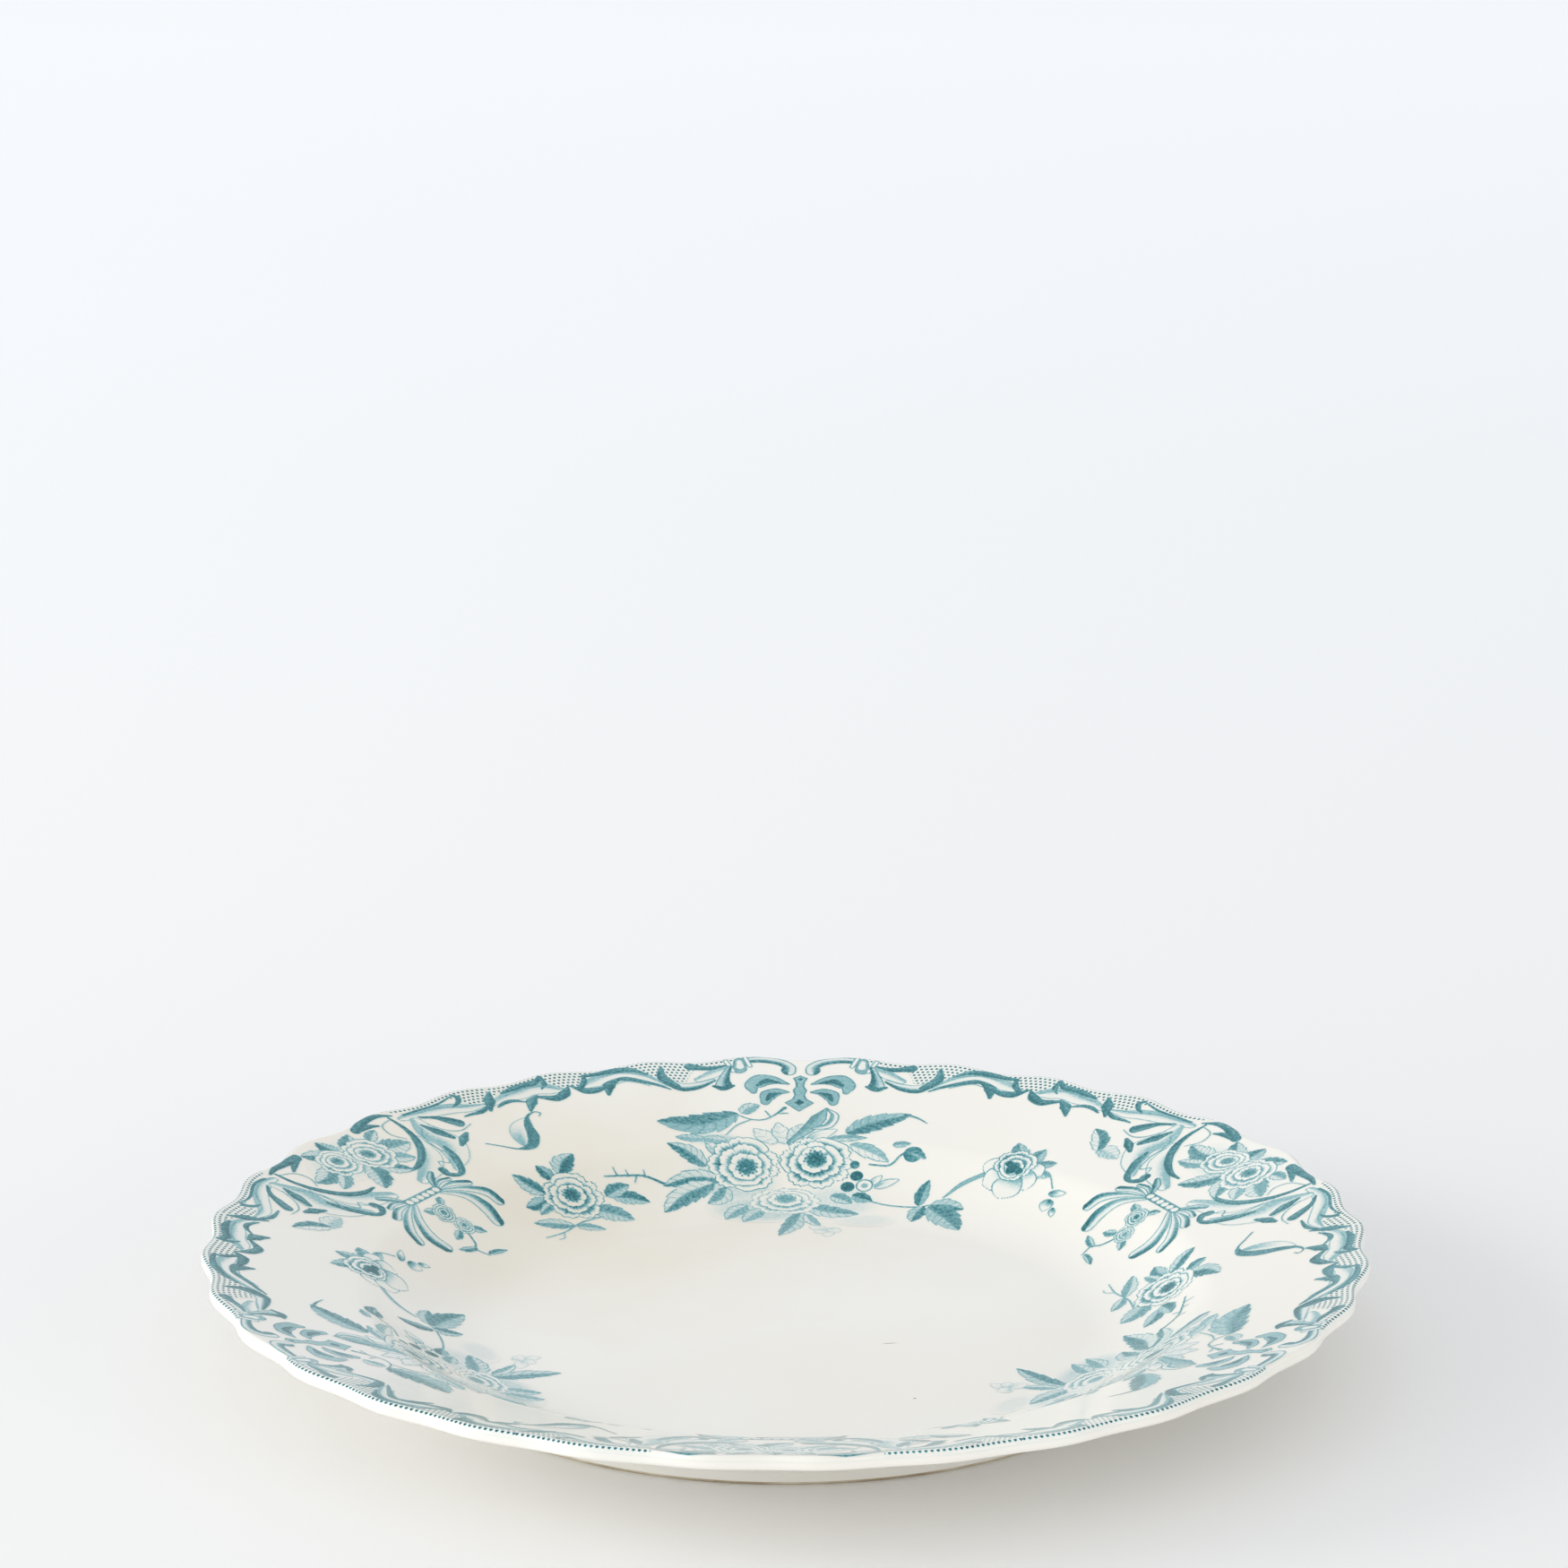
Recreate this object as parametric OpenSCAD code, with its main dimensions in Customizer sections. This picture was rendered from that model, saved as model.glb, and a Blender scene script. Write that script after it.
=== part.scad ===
// Scalloped dinner plate with a printed border, cartouches and bouquets.
// +Z is up, the plate stands on z = 0, and its axis is the Z axis.
// The first bouquet lies on the +Y side, and the printed pattern comes three times round the plate.

/* [Plate] */
// Mean radius of the scalloped edge
rim_r = 125.5; // [104:0.5:155]
// Height of the edge above the table
plate_h = 25; // [20:0.5:31]
// Radius of the verge, the ridge where the rim meets the wall of the well
verge_r = 91; // [84:0.5:100]
// Fall of the sloping rim from its edge to the verge
rim_fall = 9.6; // [7:0.1:11]
// Radius of the flat floor of the well
floor_r = 65; // [54:0.5:78]
// Half the width of the band that rounds the verge
verge_round = 2.5; // [1.5:0.1:4]

/* [Scallops] */
// Number of scallops round the edge
scallops = 32; // [24:1:42]
// How far a scallop stands out from the mean edge, and cuts in behind it
scallop_depth = 0.8; // [0.4:0.1:1.8]
// How far the edge stands out at each cartouche, and cuts in at each bouquet
lobe_depth = 0.3; // [0:0.1:1.2]

/* [Clay] */
// Thickness of the clay in the floor and the wall
clay_t = 3.4; // [2.8:0.1:4.2]
// Thickness of the clay at the edge of the rim
edge_t = 2.4; // [2:0.1:3.4]
// How far the rounding of the lip reaches in from the edge
lip_round = 1.2; // [0.8:0.1:1.6]

/* [Foot ring] */
// Outer radius of the foot ring
foot_r = 79.5; // [66:0.5:86]
// Width of the foot ring
foot_w = 4; // [3:0.1:6]
// Depth of the recess inside the foot ring
recess_h = 1.2; // [0.9:0.1:2.4]
// Bevel on both edges of the standing face
foot_bevel = 0.5; // [0.2:0.1:0.6]
// Size of the fillet where the foot ring meets the back
foot_fillet = 0.6; // [0.3:0.1:0.8]

/* [Glaze] */
// Thickness of the glaze
glaze_t = 0.3; // [0.2:0.05:0.4]
// Height of the edge that is wiped clean of glaze round the standing face
dry_h = 0.7; // [0.6:0.1:0.8]

/* [Print] */
// Thickness of a printed transfer
print_t = 0.05; // [0.04:0.01:0.1]
// Plain margin between the edge and the border print, kept just clear of the rounded lip
print_margin = 1.3; // [1.3:0.1:3]
// Width of the border print between its hooks
border_w = 9; // [6:0.5:12]
// How far the hooks of the border reach further in
hook_len = 7; // [3:0.5:9]
// Half the angle that one border strip spans
border_half = 36; // [30:1:40]
// How far a bouquet may reach in over the floor of the well
floor_reach = 20; // [14:1:30]
// Radius of a large rose
rose_r = 8.2; // [6:0.1:10]
// Width of the stems that join the sprays
stem_w = 0.8; // [0.5:0.1:1.5]

/* [Hidden] */
$fn = 64;

// Steps of the curves: round the edge, down the wall, over the verge and in a fillet
edge_steps = scallops * 6;
wall_steps = 10;
verge_steps = 4;
fillet_steps = 4;

third = 120;
cartouche_turn = 60;
// Cutters and blanks run on this far past what they trim
clear = 3;
verge_z = plate_h - rim_fall;
rim_slope = rim_fall / (rim_r - verge_r);
floor_z = recess_h + clay_t + 2 * glaze_t;
lip_t = edge_t + 2 * glaze_t;
// The profiles run on past the widest scallop, and the scalloped blank trims them
out_r = rim_r + scallop_depth + lobe_depth + clear;
foot_in = foot_r - foot_w;

// The lip in section from bottom to top: distance in from the edge as a share of lip_round,
// and depth below the edge as a share of the lip's thickness
LIP = [[0.75, 1.27], [0.3, 0.94], [0, 0.7], [0, 0.42], [0.15, 0.22], [0.45, 0.07], [1, 0]];

// ---- Profile of the face, and layers below it ----

// Height of the wall, a parabola that starts level at the edge of the floor
function wall_z(r) = floor_z + (verge_z - floor_z) * pow((r - floor_r) / (verge_r - floor_r), 2);

// Height of the rim, a straight slope
function rim_z(r) = plate_h - (rim_r - r) * rim_slope;

// Height of the verge, a parabola that leaves the wall and the rim along their own slopes
function verge_arc(t) = pow(1 - t, 2) * wall_z(verge_r - verge_round) + 2 * t * (1 - t) * verge_z
                      + pow(t, 2) * rim_z(verge_r + verge_round);

function face_z(r) = r >= verge_r + verge_round ? rim_z(r)
                   : r > verge_r - verge_round ? verge_arc((r - verge_r + verge_round) / (2 * verge_round))
                   : r > floor_r ? wall_z(r) : floor_z;

function face_tilt(r) = atan((face_z(r + 0.05) - face_z(r - 0.05)) / 0.1);

// Height at radius r of a layer that lies d below the face, measured square to the face
function layer_z(r, d) = face_z(r) - d / cos(face_tilt(r));

// Clay thins from the verge to the edge
function clay_at(r) = r <= verge_r ? clay_t
                    : clay_t + (edge_t - clay_t) * (min(r, rim_r) - verge_r) / (rim_r - verge_r);

RADII = concat([floor_r],
               [for (i = [1:wall_steps]) floor_r + (verge_r - verge_round - floor_r) * i / wall_steps],
               [for (i = [1:verge_steps]) verge_r - verge_round + 2 * verge_round * i / verge_steps],
               [rim_r]);

function radii(a, b) = concat([a], [for (r = RADII) if (r > a + 0.2 && r < b - 0.2) r], [b]);
function reversed(list) = [for (i = [len(list) - 1:-1:0]) list[i]];

// Points of a layer d below the face, and of a layer d below the back of the clay
function face_line(d, a, b) = [for (r = radii(a, b)) [r, layer_z(r, d)]];
function back_line(d, a, b) = [for (r = radii(a, b)) [r, layer_z(r, glaze_t + clay_at(r) + d)]];
function back_z(r, d) = layer_z(r, glaze_t + clay_at(r) + d);

// Fillet between the side of the foot ring at radius r and the back, on side s (1 out, -1 in)
function foot_corner(r, d, s) = [for (i = [0:fillet_steps]) let (t = i / fillet_steps)
    pow(1 - t, 2) * [r, back_z(r, d) - foot_fillet] + 2 * t * (1 - t) * [r, back_z(r, d)]
    + pow(t, 2) * [r + s * foot_fillet, back_z(r + s * foot_fillet, d)]];

// ---- Scalloped outline ----

// Radius of the edge at an angle from the bouquet
function edge_r(a) = rim_r - scallop_depth * cos(scallops * a) - lobe_depth * cos(3 * a);

function edge_point(a, inset) = (1 - inset / rim_r) * edge_r(a) * [sin(a), cos(a)];

// Solid blank with the scalloped outline and the rounded lip, all in by inset; it trims the profiles
module scalloped_blank(inset) {
    rings = concat([[LIP[0][0], -1]],
                   [for (p = LIP) [p[0], plate_h - p[1] * (lip_t - 2 * inset) - inset]],
                   [[1, plate_h + clear]]);
    n = edge_steps;
    points = [for (q = rings) for (i = [0:n - 1])
              let (p = edge_point(360 * i / n, inset + q[0] * lip_round)) [p[0], p[1], q[1]]];
    sides = [for (k = [0:len(rings) - 2]) for (i = [0:n - 1]) let (j = (i + 1) % n)
             [k * n + i, k * n + j, (k + 1) * n + j, (k + 1) * n + i]];
    polyhedron(points, concat([[for (i = [n - 1:-1:0]) i]],
                              [[for (i = [0:n - 1]) (len(rings) - 1) * n + i]], sides));
}

// ---- Clay ----

module clay() {
    intersection() {
        rotate_extrude() polygon(concat(
            face_line(glaze_t, 0, out_r), reversed(back_line(0, foot_r + foot_fillet, out_r)),
            reversed(foot_corner(foot_r, 0, 1)),
            [[foot_r, foot_bevel], [foot_r - foot_bevel, 0], [foot_in + foot_bevel, 0], [foot_in, foot_bevel]],
            foot_corner(foot_in, 0, -1), reversed(back_line(0, 0, foot_in - foot_fillet))));
        scalloped_blank(glaze_t);
    }
}

module biscuit_body() {
    color([0.90, 0.87, 0.79]) clay();
}

// ---- Glaze ----

module face_glaze() {
    middle = foot_r - foot_w / 2;
    core_z = floor_z - glaze_t - clay_t / 2;
    side = foot_r + glaze_t;
    color([0.93, 0.92, 0.88]) difference() {
        intersection() {
            rotate_extrude() polygon(concat(
                face_line(0, 0, out_r), reversed(back_line(glaze_t, side + foot_fillet, out_r)),
                reversed(foot_corner(side, glaze_t, 1)),
                [[side, dry_h], [middle, dry_h], [middle, core_z], [0, core_z]]));
            scalloped_blank(0);
        }
        clay();
    }
}

module foot_glaze() {
    side = foot_in - glaze_t;
    color([0.93, 0.92, 0.88]) rotate_extrude() polygon(concat(
        back_line(0, 0, foot_in - foot_fillet), reversed(foot_corner(foot_in, 0, -1)),
        [[foot_in, dry_h], [side, dry_h]],
        foot_corner(side, glaze_t, -1), reversed(back_line(glaze_t, 0, side - foot_fillet))));
}

// ---- Print ----

// Thin layer on the face between radii a and b, cut out by upright shapes
module film(a, b) {
    color([0.33, 0.58, 0.64]) intersection() {
        rotate_extrude() polygon(concat(face_line(-print_t, a, b), reversed(face_line(0, a, b))));
        union() children();
    }
}

// Cutters stand upright through the whole plate
module disc(r) cylinder(h = plate_h + clear, r = r);

// Pointed leaf of length l and width w, its foot at the origin: two arcs that meet at both ends
module leaf(l, w) {
    arc_r = (l * l + w * w) / (4 * w);
    intersection_for(s = [-1, 1]) translate([s * (arc_r - w / 2), l / 2]) disc(arc_r);
}

// C-scroll: a disc with the same disc cut out of it, moved by w
module crescent(r, w) {
    difference() {
        disc(r);
        translate([0, w]) disc(r);
    }
}

// Stem of width stem_w about the plate's axis at radius r, between two angles
module stem(r, a, b) {
    steps = 8;
    angles = [for (i = [0:steps]) a + (b - a) * i / steps];
    linear_extrude(plate_h + clear)
        polygon(concat([for (t = angles) (r + stem_w / 2) * [sin(t), cos(t)]],
                       [for (t = reversed(angles)) (r - stem_w / 2) * [sin(t), cos(t)]]));
}

// Puts a shape at an angle from the motif's axis and at radius r, turned from pointing outwards
module spot(a, r, turn = 0) rotate(-a) translate([0, r]) rotate(-turn) children();

module both_sides() {
    children();
    mirror([1, 0, 0]) children();
}

// Net and scrolls along the edge, with four hooks that reach inwards on each side of the middle
module border_print(i) film(verge_r + verge_round, out_r) {
    hooks = 4;
    inner_steps = 72;
    middle = third * i;
    outer = [for (k = [0:2 * edge_steps]) let (a = 360 * k / edge_steps - 180)
             if (abs(a - middle) <= border_half) a];
    inner = [for (k = [0:inner_steps]) border_half * (1 - 2 * k / inner_steps)];
    linear_extrude(plate_h + clear)
        polygon(concat([for (a = outer) edge_point(a, print_margin)],
                       [for (a = inner) (rim_r - border_w - hook_len * pow(cos(180 * hooks * a / border_half), 4))
                                        * [sin(a + middle), cos(a + middle)]]));
}

// Rose pair in two C-scrolls, a beaded bar below them, and a tassel of feathers round a small flower
module cartouche_print(i) rotate(-third * i - cartouche_turn)
    film(floor_r, rim_r - scallop_depth - print_margin) {
        rose_y = rim_r - print_margin - 8;
        bar_y = rose_y - 17.5;
        both_sides() {
            translate([-5, rose_y]) disc(0.62 * rose_r);
            translate([-7, rose_y]) rotate(95) leaf(16, 8);
            translate([-7, rose_y + 5]) rotate(-45) crescent(15, 3);
            translate([-17.5, rose_y - 4]) rotate(155) leaf(18, 8);
            translate([-17.5, rose_y - 4]) rotate(115) leaf(16, 7);
            translate([-5, bar_y]) rotate(125) leaf(13, 4.5);
            translate([-5, bar_y]) rotate(155) leaf(18, 5.5);
        }
        translate([-6.5, bar_y - 1]) cube([13, 2, plate_h + clear]);
        translate([0, rose_y]) rotate(180) leaf(19, 6);
        translate([0, bar_y]) rotate(180) leaf(26, 4);
        translate([0, bar_y - 9]) disc(0.4 * rose_r);
    }

// Three large roses with their leaves, and a flowering spray that trails to each side
module bouquet_print(i) rotate(-third * i) film(floor_r - floor_reach, rim_r - border_w - hook_len) {
    spot(-7.5, 84.4) disc(rose_r);
    spot(3.3, 85.6) disc(rose_r);
    spot(-1.4, 74) disc(rose_r);
    spot(-6, 89, -56) leaf(29, 11);
    spot(-1, 87, 28) leaf(22, 8);
    spot(3, 87, 48) leaf(30, 9);
    spot(-11, 84, -62) leaf(18, 7);
    spot(-9, 80, -125) leaf(25, 9);
    spot(6, 84, 78) leaf(16, 5);
    spot(7, 80, 115) leaf(13, 6);
    spot(-2, 72, 185) leaf(19, 6);
    stem(90.5, 5, 17);
    spot(16.7, 90.5) disc(0.3 * rose_r);

    stem(81, -36, -8);
    spot(-35.8, 82.2) disc(0.9 * rose_r);
    spot(-33, 82, 105) leaf(17, 6);
    spot(-39, 83, -60) leaf(16, 6);
    spot(-36, 78, 165) leaf(17, 6);

    stem(76, 3, 27);
    for (turn = [30, 125, 200]) spot(26.4, 75, turn) leaf(13, 6);
    spot(26.4, 75) disc(0.3 * rose_r);
    stem(84, 25, 43);
    spot(32.5, 88) disc(0.72 * rose_r);
    for (turn = [-75, 60, 180]) spot(32.5, 88, turn) leaf(13, 6);
    spot(42.2, 85.5, 150) leaf(9, 5);
}

biscuit_body();
face_glaze();
foot_glaze();
for (i = [0:2]) {
    border_print(i);
    cartouche_print(i);
    bouquet_print(i);
}
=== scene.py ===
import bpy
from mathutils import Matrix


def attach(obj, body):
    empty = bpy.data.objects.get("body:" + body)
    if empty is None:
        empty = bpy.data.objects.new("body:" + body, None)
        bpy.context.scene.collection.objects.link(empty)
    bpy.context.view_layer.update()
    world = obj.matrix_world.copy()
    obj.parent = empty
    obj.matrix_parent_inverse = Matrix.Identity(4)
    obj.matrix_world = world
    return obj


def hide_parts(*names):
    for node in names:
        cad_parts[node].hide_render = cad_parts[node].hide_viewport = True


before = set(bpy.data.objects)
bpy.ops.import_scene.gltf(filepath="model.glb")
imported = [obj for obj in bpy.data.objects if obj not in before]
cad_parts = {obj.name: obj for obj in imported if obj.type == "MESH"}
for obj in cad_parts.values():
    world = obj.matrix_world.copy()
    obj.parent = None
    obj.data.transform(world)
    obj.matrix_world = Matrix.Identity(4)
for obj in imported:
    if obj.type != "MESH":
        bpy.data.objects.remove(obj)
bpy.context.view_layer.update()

import math

import bpy
import numpy as np

# ---- Camera ----
# A long lens about 1.4 m off, looking down on the plate at 16 degrees, with a little of the room
# above it. The first bouquet is on the far side.
scene = bpy.context.scene
lens = bpy.data.cameras.new("camera")
lens.lens = 145.9
lens.sensor_width = 36
lens.clip_end = 40
camera = bpy.data.objects.new("camera", lens)
camera.location = (0.0389, -1.2965, 0.4976)
camera.rotation_euler = [math.radians(angle) for angle in (74.07, 0.04, 1.72)]
scene.collection.objects.link(camera)
scene.camera = camera
scene.view_settings.view_transform = "Standard"

# ---- Light ----
# A studio with white walls: an even glow from all round, a low soft window on the left, and the two
# near walls, which throw light under the rim.


def daylight(red, green, blue):
    """A colour given in the usual 0 to 255 steps, as the linear colour that light and shaders add up in."""
    steps = np.array([red, green, blue]) / 255
    linear = np.where(steps <= 0.04045, steps / 12.92, ((steps + 0.055) / 1.055) ** 2.4)
    return (*[float(value) for value in linear], 1.0)


room = bpy.data.worlds.new("studio")
room.use_nodes = True
room.node_tree.nodes["Background"].inputs["Color"].default_value = daylight(250, 252, 255)
room.node_tree.nodes["Background"].inputs["Strength"].default_value = 0.79
scene.world = room


def soft_panel(name, place, width, watts, colour):
    """A square lamp of the given width, turned so that its face looks at the middle of the plate."""
    lamp = bpy.data.lights.new(name, "AREA")
    lamp.size = width
    lamp.energy = watts
    lamp.color = daylight(*colour)[:3]
    panel = bpy.data.objects.new(name, lamp)
    panel.location = place
    x, y, z = place
    panel.rotation_euler = (math.acos(z / math.hypot(x, y, z)), 0, math.atan2(x, -y))
    scene.collection.objects.link(panel)


soft_panel("left_window", (-2.2, 0.0, 0.6), 1.3, 24, (255, 254, 251))
soft_panel("near_left_wall", (-1.8, -1.5, 0.55), 1.2, 9, (255, 253, 250))
soft_panel("near_right_wall", (1.8, -1.5, 0.55), 1.2, 8, (255, 252, 248))

# ---- Floor ----
# A wide sheet of pale paper that the plate stands on, tinted a touch warmer near the front as painted
# light, with a painted glow further back, as if lit from behind. It isn't part of the object.
floor_mesh = bpy.data.meshes.new("paper_floor")
reach = 12.0
floor_mesh.from_pydata([(-reach, -reach, 0), (reach, -reach, 0), (reach, reach, 0), (-reach, reach, 0)],
                       [], [(0, 1, 2, 3)])
floor = bpy.data.objects.new("paper_floor", floor_mesh)
scene.collection.objects.link(floor)


def add_node(tree, kind, at=None, **settings):
    """Adds a shader node. Settings name its own properties; at gives its inputs by name or number,
    each a plain value or another node's output."""
    node = tree.nodes.new(kind)
    for name, value in settings.items():
        setattr(node, name, value)
    for key, value in (at or {}).items():
        if isinstance(value, bpy.types.NodeSocket):
            tree.links.new(value, node.inputs[key])
        else:
            node.inputs[key].default_value = value
    return node


def blank_material(name):
    """A new material with a Principled surface, given back with its node tree and its shader."""
    material = bpy.data.materials.new(name)
    material.use_nodes = True
    return material, material.node_tree, material.node_tree.nodes["Principled BSDF"]


paper, tree, shader = blank_material("floor_paper")
place = add_node(tree, "ShaderNodeTexCoord").outputs["Object"]
forward = add_node(tree, "ShaderNodeSeparateXYZ", {0: place}).outputs["Y"]
far_share = add_node(tree, "ShaderNodeMapRange", {"Value": forward, "From Min": -0.3, "From Max": 1.2})
# Painted light: the paper is tinted warmer near the front and cooler further back, where the light differs.
tone = add_node(tree, "ShaderNodeMix", {"Factor": far_share.outputs[0], "A": daylight(249, 248, 246),
                                        "B": daylight(246, 249, 252)}, data_type="RGBA")
tree.links.new(tone.outputs["Result"], shader.inputs["Base Color"])
# Painted light: the paper glows more further back, standing in for light from behind.
far_glow = add_node(tree, "ShaderNodeMapRange", {"Value": forward, "From Min": 0.05, "From Max": 1.75})
glow = add_node(tree, "ShaderNodeMix", {"Factor": far_glow.outputs[0], "A": daylight(0, 0, 0),
                                        "B": daylight(112, 111, 108)}, data_type="RGBA")
tree.links.new(glow.outputs["Result"], shader.inputs["Emission Color"])
shader.inputs["Emission Strength"].default_value = 1.0
shader.inputs["Roughness"].default_value = 0.9
shader.inputs["Specular IOR Level"].default_value = 0.1
floor_mesh.materials.append(paper)

# ---- Clay body ----
# Fine white earthenware: one flat of clay jiggered over a mould, its foot ring turned and its edge
# pressed into scallops, then fired. Only the standing edge of the foot ring is left bare.
MM = 0.001
plate_h, rim_r, verge_r, floor_r = 25.0, 125.5, 91.0, 65.0
rim_fall, verge_round = 9.6, 2.5
scallops, scallop_depth, lobe_depth = 32, 0.8, 0.3
clay_t, edge_t, glaze_t = 3.4, 2.4, 0.3
lip_round = 1.2
foot_r, foot_w, foot_bevel, foot_fillet, recess_h = 79.5, 4.0, 0.5, 0.6, 1.2
rim_slope = rim_fall / (rim_r - verge_r)
verge_z = plate_h - rim_fall
floor_z = recess_h + clay_t + 2 * glaze_t
lip_t = edge_t + 2 * glaze_t
foot_in = foot_r - foot_w


def face_height(r):
    """Height of the glazed face: a flat floor, a parabola up the wall, another that rounds the verge,
    and the straight rim."""
    rim = plate_h - (rim_r - r) * rim_slope
    climb = (verge_z - floor_z) / (verge_r - floor_r) ** 2
    wall = floor_z + climb * np.maximum(r - floor_r, 0) ** 2
    inner_end = floor_z + climb * (verge_r - verge_round - floor_r) ** 2
    outer_end = plate_h - (rim_r - verge_r - verge_round) * rim_slope
    t = (r - verge_r + verge_round) / (2 * verge_round)
    arc = (1 - t) ** 2 * inner_end + 2 * t * (1 - t) * verge_z + t ** 2 * outer_end
    return np.where(t <= 0, wall, np.where(t >= 1, rim, arc))


def layer(r, depth):
    """Points (radius, height) of a layer that lies depth below the face, measured square to it."""
    slope = (face_height(r + 0.05) - face_height(r - 0.05)) / 0.1
    return np.column_stack([r, face_height(r) - depth * np.hypot(1, slope)])


def clay_at(r):
    """Thickness of the clay: even to the verge, then thinning in a straight line to the edge."""
    return clay_t + (edge_t - clay_t) * np.clip((r - verge_r) / (rim_r - verge_r), 0, 1)


def lip(depth):
    """The rounded lip of a layer depth inside the surface: a quarter ellipse over the top, an upright
    wall, and part of an ellipse below that ends at the arris of the back."""
    share = 1 - 2 * depth / lip_t
    turn = np.linspace(0, 90, 9)[1:]
    over = rim_r - depth - lip_round * (1 - np.sin(np.radians(turn)))
    top = layer(over, depth) - np.column_stack([0 * over,
                                                share * 0.42 * lip_t * (1 - np.cos(np.radians(turn)))])
    turn = np.radians(np.linspace(0, 70, 8))
    under = np.column_stack([rim_r - depth - 0.93 * (1 - np.cos(turn)),
                             plate_h - depth - share * lip_t * (0.7 + 0.42 * np.sin(turn))])
    return np.vstack([top, under])


def foot_corner(r, depth, side):
    """Fillet from the side of the foot ring, at radius r, to the back: a parabola over three points."""
    t = np.linspace(0, 1, 7)[:, None]
    back = layer(np.array([r, r + side * foot_fillet]), glaze_t + clay_at(r) + depth)
    low = back[0] - [0, foot_fillet]
    return (1 - t) ** 2 * low + 2 * t * (1 - t) * back[0] + t ** 2 * back[1]


def back_line(r, depth):
    """Points of the back of the clay, or of a layer depth below it."""
    return layer(r, glaze_t + clay_at(r) + depth)


def edge_shift(angle):
    """How far the edge stands out at an angle from the bouquet: a wave for the scallops and a slow one
    that comes three times round."""
    return -scallop_depth * np.cos(scallops * angle) - lobe_depth * np.cos(3 * angle)


def stations(floor_steps, wall_steps, verge_steps, rim_steps):
    """Radii along the face from the axis to the start of the lip, close together where it curves."""
    return np.concatenate([np.linspace(0, floor_r, floor_steps, endpoint=False),
                           np.linspace(floor_r, verge_r - verge_round, wall_steps, endpoint=False),
                           np.linspace(verge_r - verge_round, verge_r + verge_round, verge_steps,
                                       endpoint=False),
                           np.linspace(verge_r + verge_round, rim_r - lip_round, rim_steps)])


def turned_piece(name, profile, turns=528):
    """Carries a profile of (radius, height) points, which starts and ends on the axis, once round it.
    A point near the edge also moves out with the scallops, and up as the rim climbs over that distance."""
    r, z = profile[1:-1].T
    angle = np.arange(turns) * 2 * np.pi / turns
    share = np.clip((r - verge_r - verge_round) / (rim_r - lip_round - verge_r - verge_round), 0, 1) ** 2
    out = r[:, None] + (share * (3 - 2 * np.sqrt(share)))[:, None] * edge_shift(angle)
    up = z[:, None] + face_height(out) - face_height(r)[:, None]
    points = np.stack([out * np.sin(angle), out * np.cos(angle), up], -1).reshape(-1, 3)
    poles = [[0, 0, profile[0, 1]], [0, 0, profile[-1, 1]]]
    index = np.arange(len(r) * turns).reshape(len(r), turns)
    beside = np.roll(index, -1, 1)
    quads = np.stack([index[:-1], index[1:], beside[1:], beside[:-1]], -1).reshape(-1, 4)
    first, last = len(points), len(points) + 1
    fans = [(first, a, b) for a, b in zip(index[0], beside[0])]
    fans += [(last, b, a) for a, b in zip(index[-1], beside[-1])]
    mesh = bpy.data.meshes.new(name)
    mesh.from_pydata(np.vstack([points, poles]) * MM, [], quads.tolist() + fans)
    mesh.polygons.foreach_set("use_smooth", np.ones(len(mesh.polygons), bool))
    mesh.set_sharp_from_angle(angle=math.radians(50))
    piece = bpy.data.objects.new(name, mesh)
    scene.collection.objects.link(piece)
    return piece


def backwards(line):
    return line[::-1]


clay_profile = np.vstack([
    layer(stations(6, 12, 8, 12) * (1 - glaze_t / rim_r), glaze_t), lip(glaze_t),
    back_line(np.linspace(rim_r - glaze_t - lip_round, foot_r + foot_fillet, 24), 0),
    backwards(foot_corner(foot_r, 0, 1)),
    [[foot_r, foot_bevel], [foot_r - foot_bevel, 0], [foot_in + foot_bevel, 0], [foot_in, foot_bevel]],
    foot_corner(foot_in, 0, -1),
    back_line(np.linspace(foot_in - foot_fillet, 0, 20), 0)])
clay = turned_piece("clay_body", clay_profile, 264)
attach(clay, "root")
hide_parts("biscuit_body")

bare_clay, tree, shader = blank_material("bare_fired_clay")
place = add_node(tree, "ShaderNodeTexCoord").outputs["Object"]
grain = add_node(tree, "ShaderNodeTexNoise", {"Vector": place, "Scale": 900, "Detail": 4})
dirt = add_node(tree, "ShaderNodeTexNoise", {"Vector": place, "Scale": 70, "Detail": 6})
worn = add_node(tree, "ShaderNodeMapRange", {"Value": dirt.outputs[0], "From Min": 0.42, "From Max": 0.68})
tone = add_node(tree, "ShaderNodeMix", {"Factor": worn.outputs[0], "A": daylight(226, 216, 192),
                                        "B": daylight(176, 156, 124)}, data_type="RGBA")
tree.links.new(tone.outputs["Result"], shader.inputs["Base Color"])
shader.inputs["Roughness"].default_value = 0.8
rough = add_node(tree, "ShaderNodeBump", {"Height": grain.outputs[0], "Distance": 0.0001, "Strength": 0.6})
tree.links.new(rough.outputs[0], shader.inputs["Normal"])
clay.data.materials.append(bare_clay)

# ---- Glaze ----
# Clear gloss glaze over the warm white clay, poured and fired on. One skin covers the face, the lip
# and the back; another lines the recess inside the foot ring. Both end in a soft bead above the
# standing edge, which is wiped dry before firing.
dry_h = 0.7


def bead(r, side):
    """The end of a glaze skin: a quarter circle from its outer side to the clay at radius r."""
    turn = np.radians(np.linspace(0, 90, 5))
    return np.column_stack([r + side * glaze_t * np.cos(turn), dry_h + glaze_t * (1 - np.sin(turn))])


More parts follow.
